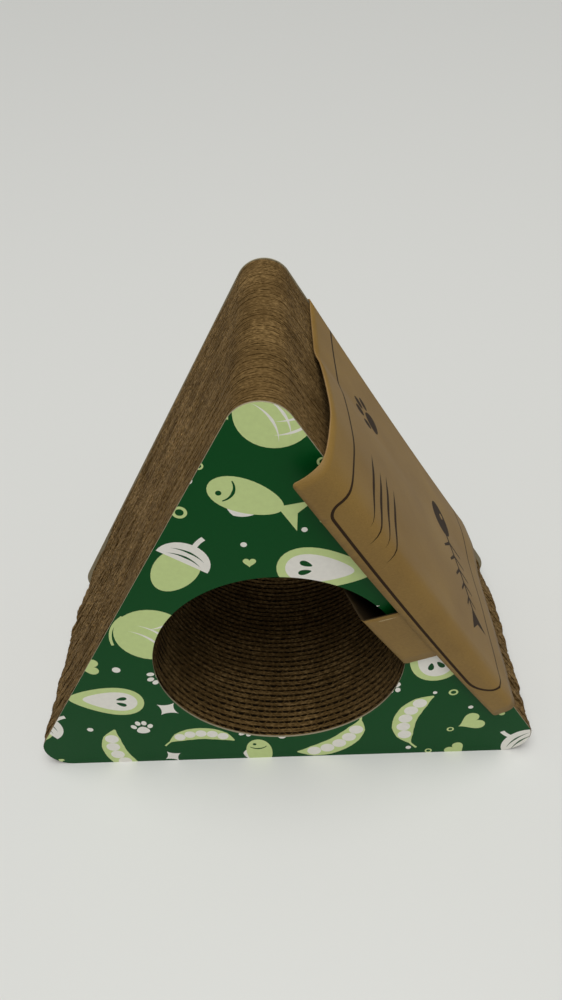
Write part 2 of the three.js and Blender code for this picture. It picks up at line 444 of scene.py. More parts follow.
# %% [markdown]
# ### Three layers of paper
# Duplicate Elements copies the plan and numbers the copies. The numbers -1, 0 and 1 then put the liners at
# the front and back of the sheet, and bend the middle copy into a sine wave between them, one wave to a
# flute. Each layer keeps its number, because the liners and the middle are treated differently later on.

# %% Three layers of paper
LAYERS = 3


def layer_copies(tree, size):
    """Copies of the plan for front liner, waved middle and back liner, each at its own depth."""
    whole = add(tree, "GeometryNodeGeometryToInstance", [size["Geometry"]])
    copies = add(
        tree, "GeometryNodeDuplicateElements", {"Geometry": whole, "Amount": LAYERS}, domain="INSTANCE")
    real = add(tree, "GeometryNodeRealizeInstances", [copies])
    layer = add(tree, "ShaderNodeMath", [copies.outputs["Duplicate Index"], 1], operation="SUBTRACT")
    room = add(tree, "ShaderNodeMath", [size["Thickness"], size["Paper"]], operation="SUBTRACT")
    half_room = add(tree, "ShaderNodeMath", [room, 2], operation="DIVIDE")
    liner_depth = add(tree, "ShaderNodeMath", [layer, half_room], operation="MULTIPLY")
    along = add(tree, "ShaderNodeSeparateXYZ", [add(tree, "GeometryNodeInputPosition")]).outputs["X"]
    flutes = add(tree, "ShaderNodeMath", [along, size["Flute Pitch"]], operation="DIVIDE")
    turns = add(tree, "ShaderNodeMath", [flutes, size["Phase"]], operation="ADD")
    angle = add(tree, "ShaderNodeMath", [turns, math.tau], operation="MULTIPLY")
    sine = add(tree, "ShaderNodeMath", [angle], operation="SINE")
    swing = add(tree, "ShaderNodeMath", [half_room, size["Paper"]], operation="SUBTRACT")
    side = add(tree, "ShaderNodeMath", [layer], operation="ABSOLUTE")
    is_middle = add(tree, "ShaderNodeMath", [1, side], operation="SUBTRACT")
    middle_swing = add(tree, "ShaderNodeMath", [swing, is_middle], operation="MULTIPLY")
    depth = add(tree, "ShaderNodeMath", [sine, middle_swing, liner_depth], operation="MULTIPLY_ADD")
    half = add(tree, "ShaderNodeMath", [size["Thickness"], 0.5, size["Front"]], operation="MULTIPLY_ADD")
    place = add(tree, "ShaderNodeMath", [depth, half], operation="ADD")
    move = add(tree, "ShaderNodeCombineXYZ", {"Y": place})
    marked = add(tree, "GeometryNodeSetPosition", {"Geometry": real, "Offset": move})
    for name, value in (("layer", layer), ("liner", side)):
        marked = add(
            tree, "GeometryNodeStoreNamedAttribute", {"Geometry": marked, "Name": name, "Value": value},
            data_type="FLOAT", domain="POINT")
    return marked


print("layers of a sheet:", LAYERS)

# %% [markdown]
# ### Worn and torn edges
# Claws have worn the edges in patches that run along a sheet, most of all low down, and cutting has torn
# them finely all over, least near the apex. At the front and middle the soft low corners flare out a
# little past the covers, and at the back they were pressed in. So each change has a range of heights or
# depths in millimetres and its strength at either end of that range. A noise texture is mostly between
# 0.3 and 0.7, so that range is spread over the whole depth of the damage.

# %% Worn and torn edges
NOISE_RANGE = (0.3, 0.7)
WEAR_SQUEEZE = 4
CALM_HEIGHTS = (150, 245)
RIM_CHANGES = {
    "wear": ("Z", (25, 150), (2.0, 0.45)),
    "low corners": ("Z", (25, 75), (1, 0)),
    "flare": ("Y", (36, 62), (1.8 * MM, -2.2 * MM)),
    "tears": ("Z", CALM_HEIGHTS, (1, 0.4)),
    "sway": ("Z", CALM_HEIGHTS, (2.4, 0.3)),
}


def fray_rims(tree, size, layers):
    """Draws the cut edges back by the sheet's inset and by wear, and pushes them about at random."""
    place = add(tree, "GeometryNodeInputPosition")
    sides = add(tree, "ShaderNodeSeparateXYZ", [place]).outputs
    change = {}
    for name, (side, places, strengths) in RIM_CHANGES.items():
        ends = [at * MM for at in places]
        change[name] = add(tree, "ShaderNodeMapRange", [sides[side], *ends, *strengths])
    rim = add(tree, "GeometryNodeInputNamedAttribute", {"Name": "rim"}, data_type="FLOAT")
    liner = add(tree, "GeometryNodeInputNamedAttribute", {"Name": "liner"}, data_type="FLOAT")
    outward = add(tree, "GeometryNodeInputNamedAttribute", {"Name": "outward"}, data_type="FLOAT_VECTOR")

    fine_scale = add(tree, "ShaderNodeMath", [1, size["Fray Length"]], operation="DIVIDE")
    fine = add(
        tree, "ShaderNodeTexNoise",
        {"Vector": place, "W": size["Seed"], "Scale": fine_scale, "Detail": 2.0}, noise_dimensions="4D")
    squeezed = add(tree, "ShaderNodeVectorMath", [place, (1, WEAR_SQUEEZE, 1)], operation="MULTIPLY")
    broad_scale = add(tree, "ShaderNodeMath", [1, size["Wear Length"]], operation="DIVIDE")
    broad = add(tree, "ShaderNodeTexNoise", {"Vector": squeezed, "Scale": broad_scale, "Detail": 2.0})
    torn, worn = [
        add(tree, "ShaderNodeMapRange", [noise, *NOISE_RANGE, 0, depth])
        for noise, depth in ((fine, size["Fray"]), (broad, size["Wear"]))
    ]

    worn = add(tree, "ShaderNodeMath", [worn, change["wear"]], operation="MULTIPLY")
    torn = add(tree, "ShaderNodeMath", [torn, change["tears"]], operation="MULTIPLY")
    out_x = add(tree, "ShaderNodeSeparateXYZ", [outward]).outputs["X"]
    upright = add(tree, "ShaderNodeMath", [out_x, out_x], operation="MULTIPLY")
    flare = add(tree, "ShaderNodeMath", [change["low corners"], change["flare"]], operation="MULTIPLY")
    flare = add(tree, "ShaderNodeMath", [flare, upright], operation="MULTIPLY")
    worn = add(tree, "ShaderNodeMath", [worn, flare], operation="SUBTRACT")
    is_middle = add(tree, "ShaderNodeMath", [1, liner], operation="SUBTRACT")
    sunk = add(
        tree, "ShaderNodeMath", [is_middle, size["Middle Inset"], size["Inset"]], operation="MULTIPLY_ADD")
    lost = add(tree, "ShaderNodeMath", [worn, torn], operation="ADD")
    loss = add(tree, "ShaderNodeMath", [lost, sunk], operation="ADD")
    drawn = add(tree, "ShaderNodeVectorMath", {0: outward, "Scale": loss}, operation="SCALE")

    centred = add(
        tree, "ShaderNodeVectorMath", [fine.outputs["Color"], (0.5, 0.5, 0.5)], operation="SUBTRACT")
    reach = add(tree, "ShaderNodeMath", [size["Fray"], change["sway"]], operation="MULTIPLY")
    swayed = add(tree, "ShaderNodeVectorMath", {0: centred, "Scale": reach}, operation="SCALE")
    sideways = add(tree, "ShaderNodeVectorMath", [swayed, (0, 1, 0)], operation="MULTIPLY")
    both = add(tree, "ShaderNodeVectorMath", [sideways, drawn], operation="SUBTRACT")
    at_rim = add(tree, "ShaderNodeVectorMath", {0: both, "Scale": rim}, operation="SCALE")
    return add(tree, "GeometryNodeSetPosition", {"Geometry": layers, "Offset": at_rim})


print("changes along the rims:", ", ".join(RIM_CHANGES))

# %% [markdown]
# ### The paper's thickness
# Extruding a layer gives its paper a thickness. At the cut, the liners swell into a burr that closes over
# the flutes from both sides, in some patches more than in others, and most near the apex. Only the side
# that faces the flutes moves, so that the sheets still lie flat against each other.

# %% The paper's thickness
BURR_PATCH = 9
BURR_NOISE = (0.35, 0.65)
BURR_SHARES = (0.74, 1.15)
APEX_BURR = 0.25
MERGE_DISTANCE = 0.001


def thicken(tree, size, layers):
    """Gives each layer its paper's thickness, and the liners a burr that turns in over the flutes."""
    rim = add(tree, "GeometryNodeInputNamedAttribute", {"Name": "rim"}, data_type="FLOAT")
    layer = add(tree, "GeometryNodeInputNamedAttribute", {"Name": "layer"}, data_type="FLOAT")
    spare = add(tree, "ShaderNodeMath", [size["Paper"], size["Burr"]], operation="SUBTRACT")
    patches = add(tree, "ShaderNodeTexNoise", {"Scale": 1 / (BURR_PATCH * MM), "Detail": 1.0})
    patchy = add(tree, "ShaderNodeMapRange", [patches, *BURR_NOISE, *BURR_SHARES])
    height = add(tree, "ShaderNodeSeparateXYZ", [add(tree, "GeometryNodeInputPosition")]).outputs["Z"]
    ends = [at * MM for at in CALM_HEIGHTS]
    at_apex = add(tree, "ShaderNodeMapRange", [height, *ends, 0, APEX_BURR])
    closing = add(tree, "ShaderNodeMath", [patchy, at_apex], operation="ADD")
    inward = add(tree, "ShaderNodeMath", [rim, spare], operation="MULTIPLY")
    for share in (closing, layer):
        inward = add(tree, "ShaderNodeMath", [inward, share], operation="MULTIPLY")
    front_burr = add(tree, "ShaderNodeMath", [inward, 0], operation="MAXIMUM")
    back_burr = add(tree, "ShaderNodeMath", [inward, 0], operation="MINIMUM")
    base_depth = add(tree, "ShaderNodeMath", [size["Paper"], 0.5, front_burr], operation="MULTIPLY_ADD")
    base_move = add(tree, "ShaderNodeCombineXYZ", {"Y": base_depth})
    base = add(tree, "GeometryNodeSetPosition", {"Geometry": layers, "Offset": base_move})
    raised = add(
        tree, "GeometryNodeExtrudeMesh",
        {"Mesh": base, "Offset Scale": size["Paper"], "Individual": False}, mode="FACES")
    top_depth = add(tree, "ShaderNodeMath", [back_burr, front_burr], operation="SUBTRACT")
    top_move = add(tree, "ShaderNodeCombineXYZ", {"Y": top_depth})
    burred = add(
        tree, "GeometryNodeSetPosition",
        {"Geometry": raised, "Selection": raised.outputs["Top"], "Offset": top_move})
    under = add(tree, "GeometryNodeFlipFaces", [base])
    shell = add(tree, "GeometryNodeJoinGeometry")
    tree.links.new(burred.outputs[0], shell.inputs[0])
    tree.links.new(under.outputs[0], shell.inputs[0])
    return add(tree, "GeometryNodeMergeByDistance", {"Geometry": shell, "Distance": MERGE_DISTANCE * MM})


print(f"burr: {BURR_SHARES[0]} to {BURR_SHARES[1]} of its size, in patches of {BURR_PATCH} mm")

# %% [markdown]
# ### Loose slivers
# Claws and the cutter leave slivers of paper standing on the edges. Each is a small curled grid, and
# Instance on Points drops one on a random share of the points where the plan allows it, at a random turn
# and size. They count as the palest part of the liners.

# %% Loose slivers
FUZZ_WIDTH = 0.22
FUZZ_SCALES = (0.4, 1.2)
FUZZ_PALENESS = 2.0


def scatter_fuzz(tree, size, walls):
    fuzz = add(tree, "GeometryNodeInputNamedAttribute", {"Name": "fuzz"}, data_type="FLOAT")
    odds = add(tree, "ShaderNodeMath", [fuzz, size["Fuzz Share"]], operation="MULTIPLY")
    draw = add(tree, "FunctionNodeRandomValue", {"Seed": size["Seed"]}, data_type="FLOAT")
    chosen = add(tree, "FunctionNodeCompare", [draw.outputs[1], odds], operation="LESS_THAN")
    width = add(tree, "ShaderNodeMath", [size["Fuzz Length"], FUZZ_WIDTH], operation="MULTIPLY")
    blade = add(
        tree, "GeometryNodeMeshGrid",
        {"Size X": width, "Size Y": size["Fuzz Length"], "Vertices X": 2, "Vertices Y": 4})
    along = add(tree, "ShaderNodeSeparateXYZ", [add(tree, "GeometryNodeInputPosition")]).outputs["Y"]
    share = add(tree, "ShaderNodeMath", [along, size["Fuzz Length"]], operation="DIVIDE")
    squared = add(tree, "ShaderNodeMath", [share, share], operation="MULTIPLY")
    lift = add(tree, "ShaderNodeMath", [squared, size["Fuzz Length"]], operation="MULTIPLY")
    curl = add(tree, "ShaderNodeCombineXYZ", {"Z": lift})
    curled = add(tree, "GeometryNodeSetPosition", {"Geometry": blade.outputs["Mesh"], "Offset": curl})
    turn = add(
        tree, "FunctionNodeRandomValue",
        {"Max": (math.tau, math.tau, math.tau), "Seed": size["Seed"]}, data_type="FLOAT_VECTOR")
    scale = add(
        tree, "FunctionNodeRandomValue",
        {2: FUZZ_SCALES[0], 3: FUZZ_SCALES[1], "Seed": size["Seed"]}, data_type="FLOAT")
    slivers = add(tree, "GeometryNodeInstanceOnPoints", {
        "Points": walls, "Selection": chosen, "Instance": curled,
        "Rotation": turn, "Scale": scale.outputs[1],
    })
    marked = add(tree, "GeometryNodeRealizeInstances", [slivers])
    for name, value in (("rim", 1.0), ("liner", FUZZ_PALENESS)):
        marked = add(
            tree, "GeometryNodeStoreNamedAttribute", {"Geometry": marked, "Name": name, "Value": value},
            data_type="FLOAT", domain="POINT")
    return marked


print(f"slivers: {FUZZ_SCALES[0]} to {FUZZ_SCALES[1]} of their length")

# %% [markdown]
# ### The whole tree
# The steps are joined here, in the order in which the real sheet meets them. Realize Instances and Set
# Material come last, so that nothing is left as an instance.

# %% The whole tree
def make_sheet_tree():
    tree = bpy.data.node_groups.new("corrugated sheet", "GeometryNodeTree")
    tree.interface.new_socket("Geometry", in_out="INPUT", socket_type="NodeSocketGeometry")
    tree.interface.new_socket("Geometry", in_out="OUTPUT", socket_type="NodeSocketGeometry")
    for kind, names in SHEET_INPUTS.items():
        for name in names:
            tree.interface.new_socket(name, in_out="INPUT", socket_type=kind)
    size = add(tree, "NodeGroupInput").outputs
    layers = layer_copies(tree, size)
    frayed = fray_rims(tree, size, layers)
    walls = thicken(tree, size, frayed)
    slivers = scatter_fuzz(tree, size, walls)
    joined = add(tree, "GeometryNodeJoinGeometry")
    tree.links.new(walls.outputs[0], joined.inputs[0])
    tree.links.new(slivers.outputs[0], joined.inputs[0])
    real = add(tree, "GeometryNodeRealizeInstances", [joined])
    painted = add(tree, "GeometryNodeSetMaterial", {"Geometry": real, "Material": size["Material"]})
    add(tree, "NodeGroupOutput", [painted])
    return tree


sheet_tree = make_sheet_tree()
print("tree:", sheet_tree.name, "with", len(sheet_tree.nodes), "nodes")

# %% [markdown]
# ## The stack
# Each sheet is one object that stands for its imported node. The sheets were cut one by one, so their
# flutes don't line up and their edges step in and out by a few tenths of a millimetre. The tree's result
# is turned into a plain mesh, because an exported model has no modifiers.

# %% The stack
SHEET_SIZES = {
    "Paper": 0.3, "Burr": 1.8, "Middle Inset": 0.3, "Flute Pitch": FLUTE_PITCH, "Fuzz Length": 2.2,
    "Fray": 0.45, "Fray Length": 2.6, "Wear": 1.0, "Wear Length": 30,
}
LARGEST_INSET = 0.35
FUZZ_SHARE = 0.2
chance = random.Random(11)


def set_inputs(modifier, values):
    for item in modifier.node_group.interface.items_tree:
        if item.in_out == "INPUT" and item.name in values:
            modifier[item.identifier] = values[item.name]


def plain_mesh(piece):
    """Swaps the piece's mesh for what its modifiers make of it."""
    evaluated = piece.evaluated_get(bpy.context.evaluated_depsgraph_get())
    mesh = bpy.data.meshes.new_from_object(evaluated)
    piece.modifiers.clear()
    piece.data = mesh
    mesh.name = piece.name


def make_sheet(node, seed):
    low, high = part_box(node)
    piece = bpy.data.objects.new("fluted_" + node, plan)
    bpy.context.collection.objects.link(piece)
    modifier = piece.modifiers.new("corrugate", "NODES")
    modifier.node_group = sheet_tree
    set_inputs(modifier, {
        **{name: length * MM for name, length in SHEET_SIZES.items()},
        "Front": low.y,
        "Thickness": high.y - low.y,
        "Phase": chance.random(),
        "Inset": chance.random() * LARGEST_INSET * MM,
        "Fuzz Share": FUZZ_SHARE,
        "Seed": seed,
        "Material": card,
    })
    plain_mesh(piece)
    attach(piece, "block")
    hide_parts(node)
    return piece


sheet_nodes = sorted(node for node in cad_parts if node.startswith("sheet_"))
sheets = [make_sheet(node, seed) for seed, node in enumerate(sheet_nodes)]
faces = sum(len(sheet.data.polygons) for sheet in sheets)
print(f"stack: {len(sheets)} sheets, {faces} faces")

# %% [markdown]
# ## Printed card
# The covers are white-lined card, printed in three inks and varnished to a satin sheen. A print could be
# painted by shader nodes, but shapes that are cut into the mesh stay crisp at any distance, so each ink
# is a material of its own. The varnish lies over a faintly uneven paper, which breaks up reflections.

# %% Printed card
FOREST_GREEN = "#004b1b"
PALE_GREEN = "#cfe098"
WARM_WHITE = "#f6f2e8"
RAW_EDGE = "#a0967c"
INK_MOTTLE = 3
THINNEST_INK = 0.86
PAPER_TOOTH = 0.6


def printed_ink(name, hex_colour, roughness=0.42):
    material, tree, shader = new_material(name, roughness, gloss=0.1)
    place = add(tree, "ShaderNodeTexCoord").outputs["Object"]
    cloud, tooth = [
        add(tree, "ShaderNodeTexNoise", {"Vector": place, "Scale": 1 / (grain * MM), "Detail": detail})
        for grain, detail in ((INK_MOTTLE, 5.0), (PAPER_TOOTH, 2.0))
    ]
    full = linear(hex_colour)
    thin = [share * THINNEST_INK for share in full[:3]] + [1.0]
    ink = add(tree, "ShaderNodeMix", {0: cloud, 6: thin, 7: full}, data_type="RGBA")
    bump = add(tree, "ShaderNodeBump", {"Height": tooth, "Distance": 0.04 * MM, "Strength": 0.35})
    tree.links.new(ink.outputs[2], shader.inputs["Base Color"])
    tree.links.new(bump.outputs[0], shader.inputs["Normal"])
    return material


GROUND, LEAF, WHITE, RAW = range(4)
cover_materials = [
    printed_ink("offset print forest green", FOREST_GREEN),
    printed_ink("offset print pale green", PALE_GREEN),
    printed_ink("offset print warm white", WARM_WHITE),
    printed_ink("raw card edge", RAW_EDGE, roughness=0.9),
]
print("inks:", ", ".join(material.name for material in cover_materials))

# %% [markdown]
# ## Curves for the print
# Shapes for a print could be drawn point by point, but two rules give nearly all of them: an egg curve,
# which is an ellipse where it has no taper, and a ribbon along an arc, whose width changes along it.

# %% Curves for the print
CURVE_STEPS = 36
TURNS = [math.tau * step / CURVE_STEPS for step in range(CURVE_STEPS)]


def egg(width, taper=0.0, height=0.5, middle=(0, 0), turn=0.0):
    """A closed curve that is wider at its low end where taper is positive."""
    points = []
    for angle in TURNS:
        x = math.sin(angle) * (width + taper * math.cos(angle))
        z = -height * math.cos(angle)
        points.append((
            middle[0] + x * math.cos(turn) - z * math.sin(turn),
            middle[1] + x * math.sin(turn) + z * math.cos(turn),
        ))
    return points


def disc(radius, middle=(0, 0)):
    return egg(radius, height=radius, middle=middle)


def ribbon(radius, start, end, widths, middle=(0, 0)):
    """A band along an arc between two angles in degrees, with a half-width that runs through the list."""
    inner, outer = [], []
    for step in range(CURVE_STEPS // 2 + 1):
        share = step * 2 / CURVE_STEPS
        angle = math.radians(start + (end - start) * share)
        slot = share * (len(widths) - 1)
        low = min(int(slot), len(widths) - 2)
        half = widths[low] + (widths[low + 1] - widths[low]) * (slot - low)
        for points, reach in ((inner, radius - half), (outer, radius + half)):
            points.append((middle[0] + reach * math.cos(angle), middle[1] + reach * math.sin(angle)))
    return inner + outer[::-1]


def placed(points, middle, size, turn=0.0):
    cos, sin = math.cos(turn) * size, math.sin(turn) * size
    return [(middle[0] + x * cos - z * sin, middle[1] + x * sin + z * cos) for x, z in points]


print("steps round a curve:", CURVE_STEPS)

# %% [markdown]
# ## Motifs
# The print is a scatter of garden and pet shapes: pears, pea pods, acorns, fish, balls of wool and paw
# prints, with stars, hearts and rings between them. A motif is a list of closed outlines, each with its
# ink, about one unit long. Later outlines are printed over earlier ones.

# %% Motifs
def pear():
    stem = ribbon(0.3, 150, 200, [0.02, 0.03], middle=(0.3, 0.47))
    seeds = [egg(0.035, 0.012, 0.07, (side * 0.06, -0.2), side * 0.35) for side in (-1, 1)]
    flesh = egg(0.19, 0.075, 0.36, (0, -0.05))
    return [(WHITE, stem), (LEAF, egg(0.28, 0.11)), (WHITE, flesh)] + [(GROUND, seed) for seed in seeds]


def pea_pod():
    bend, middle = 0.68, (0, -0.62)
    pod = ribbon(bend, 45, 135, [0.01, 0.1, 0.135, 0.14, 0.135, 0.1, 0.01], middle)
    tail = ribbon(bend, 134, 146, [0.014, 0.014], middle)
    places = [math.radians(90 + 14 * count) for count in range(-2, 3)]
    peas = [disc(0.082, (bend * math.cos(a), bend * math.sin(a) + middle[1])) for a in places]
    return [(LEAF, tail), (LEAF, pod)] + [(WHITE, pea) for pea in peas]


def acorn():
    nut = egg(0.21, -0.02, 0.3, (0, -0.12))
    half_turn = TURNS[:CURVE_STEPS // 2 + 1]
    cap = [(0.27 * math.cos(angle), 0.02 + 0.24 * math.sin(angle)) for angle in half_turn]
    stem = ribbon(0.3, 160, 195, [0.025, 0.025], middle=(0.3, 0.28))
    bands = [ribbon(0.42, 65, 115, [0.0, 0.012, 0.0], (0, low)) for low in (-0.33, -0.26)]
    return [(WHITE, stem), (LEAF, nut), (WHITE, cap)] + [(GROUND, band) for band in bands]


def fish():
    body = egg(0.19, 0.03, 0.36, (0.1, 0), math.pi / 2)
    tail = [(-0.2, 0), (-0.48, 0.2), (-0.4, 0), (-0.48, -0.2)]
    fin = ribbon(0.22, 35, 125, [0.0, 0.05, 0.0], (0.08, -0.02))
    eye = disc(0.028, (0.34, 0.05))
    gill = ribbon(0.16, 130, 230, [0.006, 0.016, 0.006], (0.38, 0))
    return [(LEAF, tail), (WHITE, fin), (LEAF, body), (GROUND, eye), (GROUND, gill)]


def wool_ball():
    strand_starts = {60: (-0.22, -0.36), 58: (-0.3, -0.5), 62: (-0.12, -0.25)}
    lines = [ribbon(0.5, a, a + 62, [0.0, 0.014, 0.014, 0.0], place) for a, place in strand_starts.items()]
    lines += [ribbon(0.45, 150, 212, [0.0, 0.014, 0.0], (x, 0.05)) for x in (0.38, 0.5)]
    thread = ribbon(0.42, -92, -30, [0.014, 0.014], (0.02, 0.06))
    return [(LEAF, thread), (LEAF, disc(0.36))] + [(WHITE, line) for line in lines]


def paw():
    toes = [egg(0.115, 0.0, 0.16, (x, z), turn) for x, z, turn in (
        (-0.36, 0.06, 0.5), (-0.135, 0.3, 0.12), (0.135, 0.3, -0.12), (0.36, 0.06, -0.5))]
    return [(WHITE, egg(0.28, 0.07, 0.25, (0, -0.2)))] + [(WHITE, toe) for toe in toes]


def star():
    return [(WHITE, [(0.5 * math.cos(angle) ** 3, 0.5 * math.sin(angle) ** 3) for angle in TURNS])]


def heart():
    points = []
    for angle in TURNS:
        waves = [math.cos(count * angle) for count in range(5)]
        height = 13 * waves[1] - 5 * waves[2] - 2 * waves[3] - waves[4]
        points.append((-0.5 * math.sin(angle) ** 3, height / 32))
    return [(LEAF, points)]


def ring():
    return [(LEAF, disc(0.5)), (GROUND, disc(0.28))]


def dot():
    return [(WHITE, disc(0.32))]


print("paw print:", len(paw()), "outlines")

# %% [markdown]
# ## Scattering the print
# A repeat that is drawn by hand looks lively because no two neighbours match. Throwing darts does the
# same: a motif is dropped at a random place and turn, and kept only if it is clear of those before it.
# The large ones go first, and the small ones fill what is left. "room" is the radius that a motif keeps
# free, as a share of its size in millimetres. A fixed seed gives the same print each run.

# %% Scattering the print
MOTIFS = [
    {"kinds": [pear, pea_pod, wool_ball, fish, acorn], "sizes": (42, 60), "room": 0.46, "darts": 2500},
    {"kinds": [paw, heart, star], "sizes": (13, 18), "room": 0.6, "darts": 900},
    {"kinds": [ring, dot, heart, dot], "sizes": (4, 8), "room": 0.9, "darts": 1500},
]
TUNNEL_OVERLAP = 0.6


def scatter_print(seed):
    """Outlines of the whole print with their inks, in millimetres, on the face of a cover."""
    throw = random.Random(seed)
    taken, outlines = [], []
    for layer in MOTIFS:
        kept = 0
        for _ in range(layer["darts"]):
            middle = Vector((throw.uniform(-BASE_WIDTH / 2, BASE_WIDTH / 2), throw.uniform(0, HEIGHT)))
            size = throw.uniform(*layer["sizes"])
            turn = throw.uniform(0, math.tau)
            reach = size * layer["room"]
            from_axis = (middle - Vector((0, TUNNEL_HEIGHT))).length
            in_tunnel = from_axis < TUNNEL_RADIUS - reach * TUNNEL_OVERLAP
            outside = middle.y > face_height(max(-CORNER_X, min(CORNER_X, middle.x))) + reach
            if in_tunnel or outside or any((middle - place).length < reach + r for place, r in taken):
                continue
            taken.append((middle, reach))
            motif = layer["kinds"][kept % len(layer["kinds"])]
            outlines += [(ink, placed(points, middle, size, turn)) for ink, points in motif()]
            kept += 1
    return outlines


front_print = scatter_print(seed=13)
back_print = scatter_print(seed=15)
print("prints:", len(front_print), "and", len(back_print), "outlines")

# %% [markdown]
# ## A printed blank
# A cover, and later each part of the sleeve, starts as a flat blank with its print. Overlapping outlines
# are hard to mesh by hand, so Blender's Delaunay routine cuts them all into triangles and says which
# outlines each triangle lies in: the last one drawn gives its ink. A Solidify modifier then gives the
# blank its thickness, with other materials for its inside and its cut edges.

# %% A printed blank
SAME_POINT = 1e-4


def turned_left(points):
    """The same closed outline, running counter-clockwise, as the Delaunay routine needs it."""
    pairs = zip(points, [*points[1:], points[0]])
    area = sum(a[0] * b[1] - b[0] * a[1] for a, b in pairs)
    return points if area > 0 else points[::-1]


def printed_blank(name, outline, holes, outlines, inner_points, bend):
    """A mesh of a flat blank with its inks, bent into place by a function of the flat coordinates."""
    rings = [outline, *holes, *[points for _, points in outlines]]
    flat, loops = [], []
    for ring_points in map(turned_left, rings):
        loops.append(list(range(len(flat), len(flat) + len(ring_points))))
        flat += [Vector(point) for point in ring_points]
    flat += [Vector(point) for point in inner_points]
    corners, _, triangles, _, _, sources = delaunay_2d_cdt(flat, [], loops, 0, SAME_POINT)
    first_motif = 1 + len(holes)
    kept, inks = [], []
    for triangle, inside in zip(triangles, sources):
        if 0 not in inside or any(0 < ring_number < first_motif for ring_number in inside):
            continue
        kept.append(triangle)
        top = max(inside)
        inks.append(outlines[top - first_motif][0] if top >= first_motif else GROUND)
    needed = sorted({corner for triangle in kept for corner in triangle})
    numbers = {corner: number for number, corner in enumerate(needed)}
    mesh = bpy.data.meshes.new(name)
    mesh.from_pydata(
        [bend(corners[corner]) * MM for corner in needed], [],
        [[numbers[corner] for corner in triangle] for triangle in kept])
    mesh.polygons.foreach_set("material_index", inks)
    return mesh


def thick_piece(name, mesh, materials, thickness, inside, rim, offset=-1):
    for material in materials:
        mesh.materials.append(material)
    piece = bpy.data.objects.new(name, mesh)
    bpy.context.collection.objects.link(piece)
    solid = piece.modifiers.new("thickness", "SOLIDIFY")
    solid.thickness = thickness
    solid.offset = offset
    solid.use_even_offset = True
    solid.material_offset = inside
    solid.material_offset_rim = rim
    plain_mesh(piece)
    return piece


print("helpers: turned_left, printed_blank, thick_piece")

# %% [markdown]
# ## Covers
# A cover is a sheet of card one millimetre thick, with its print outside and raw card on its edges and
# inside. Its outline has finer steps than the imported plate, so that the corners and the tunnel look
# round. The back cover is the same blank, seen the other way round and with a print of its own.

# %% Covers
OUTLINE_STEP = math.radians(5)
TUNNEL_OUTLINE_STEP = math.radians(2.5)


def block_outline():
    points = []
    for x, z, start, end in (
        (CORNER_X, CORNER_RADIUS, -math.pi / 2, math.pi / 2 - BASE_ANGLE),
        (0, APEX_Z, math.pi / 2 - BASE_ANGLE, math.pi / 2 + BASE_ANGLE),
        (-CORNER_X, CORNER_RADIUS, math.pi / 2 + BASE_ANGLE, 3 * math.pi / 2),
    ):
        steps = math.ceil((end - start) / OUTLINE_STEP)
        for step in range(steps + 1):
            angle = start + (end - start) * step / steps
            points.append((x + CORNER_RADIUS * math.cos(angle), z + CORNER_RADIUS * math.sin(angle)))
    return points


def tunnel_outline():
    steps = round(math.tau / TUNNEL_OUTLINE_STEP)
    turns = [math.tau * step / steps for step in range(steps)]
    return [(TUNNEL_RADIUS * math.cos(a), TUNNEL_HEIGHT + TUNNEL_RADIUS * math.sin(a)) for a in turns]


def make_cover(node, depth, side, outlines):
    """side is 1 on the front and -1 on the back, where the flat blank is seen the other way round."""
    mesh = printed_blank(
        node, block_outline(), [tunnel_outline()], outlines, [],
        lambda corner: Vector((side * corner.x, depth, corner.y)))
    low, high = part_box(node)
    piece = thick_piece("printed_" + node, mesh, cover_materials, high.y - low.y, inside=RAW, rim=RAW)
    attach(piece, "block")
    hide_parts(node)
    return piece


front_cover = make_cover("front_cover", FRONT_Y, 1, front_print)
back_cover = make_cover("back_cover", BACK_Y, -1, back_print)
print(f"covers: {len(front_cover.data.polygons)} and {len(back_cover.data.polygons)} faces")

# %% [markdown]
# ## Kraft board
# The sleeve is uncoated kraft board, thin enough to bend by hand. It is brown, with short pale and dark
# fibres pressed flat, and a slow change of tone where the pulp was thicker. Rolling has left it a soft
# sheen, which shows where it is seen at a flat angle. A dark ink sinks into it without much sheen, and its
# cut edges and its scuffs show paler, loose fibres. Its inside is painted dark, as shade for the narrow
# gaps where it faces the block, and the band's cut edges take the same painted shade.

# %% Kraft board
KRAFT_DARK = "#755721"
KRAFT_LIGHT = "#8f7032"
KRAFT_SCUFF = "#cdb994"
KRAFT_EDGE = "#a5875a"
KRAFT_INK = "#2f2011"
# Painted shade: the board's inside and the band's cut edges are coloured dark for the narrow gaps they
# face.
KRAFT_SHADE_TONES = ("#2a1f0e", "#4a3a20")
FLECK_WIDTH = 0.35
FLECK_LENGTH = 2.4
BOARD_CLOUD = 45
TONE_RANGE = (0.6, 1.4)


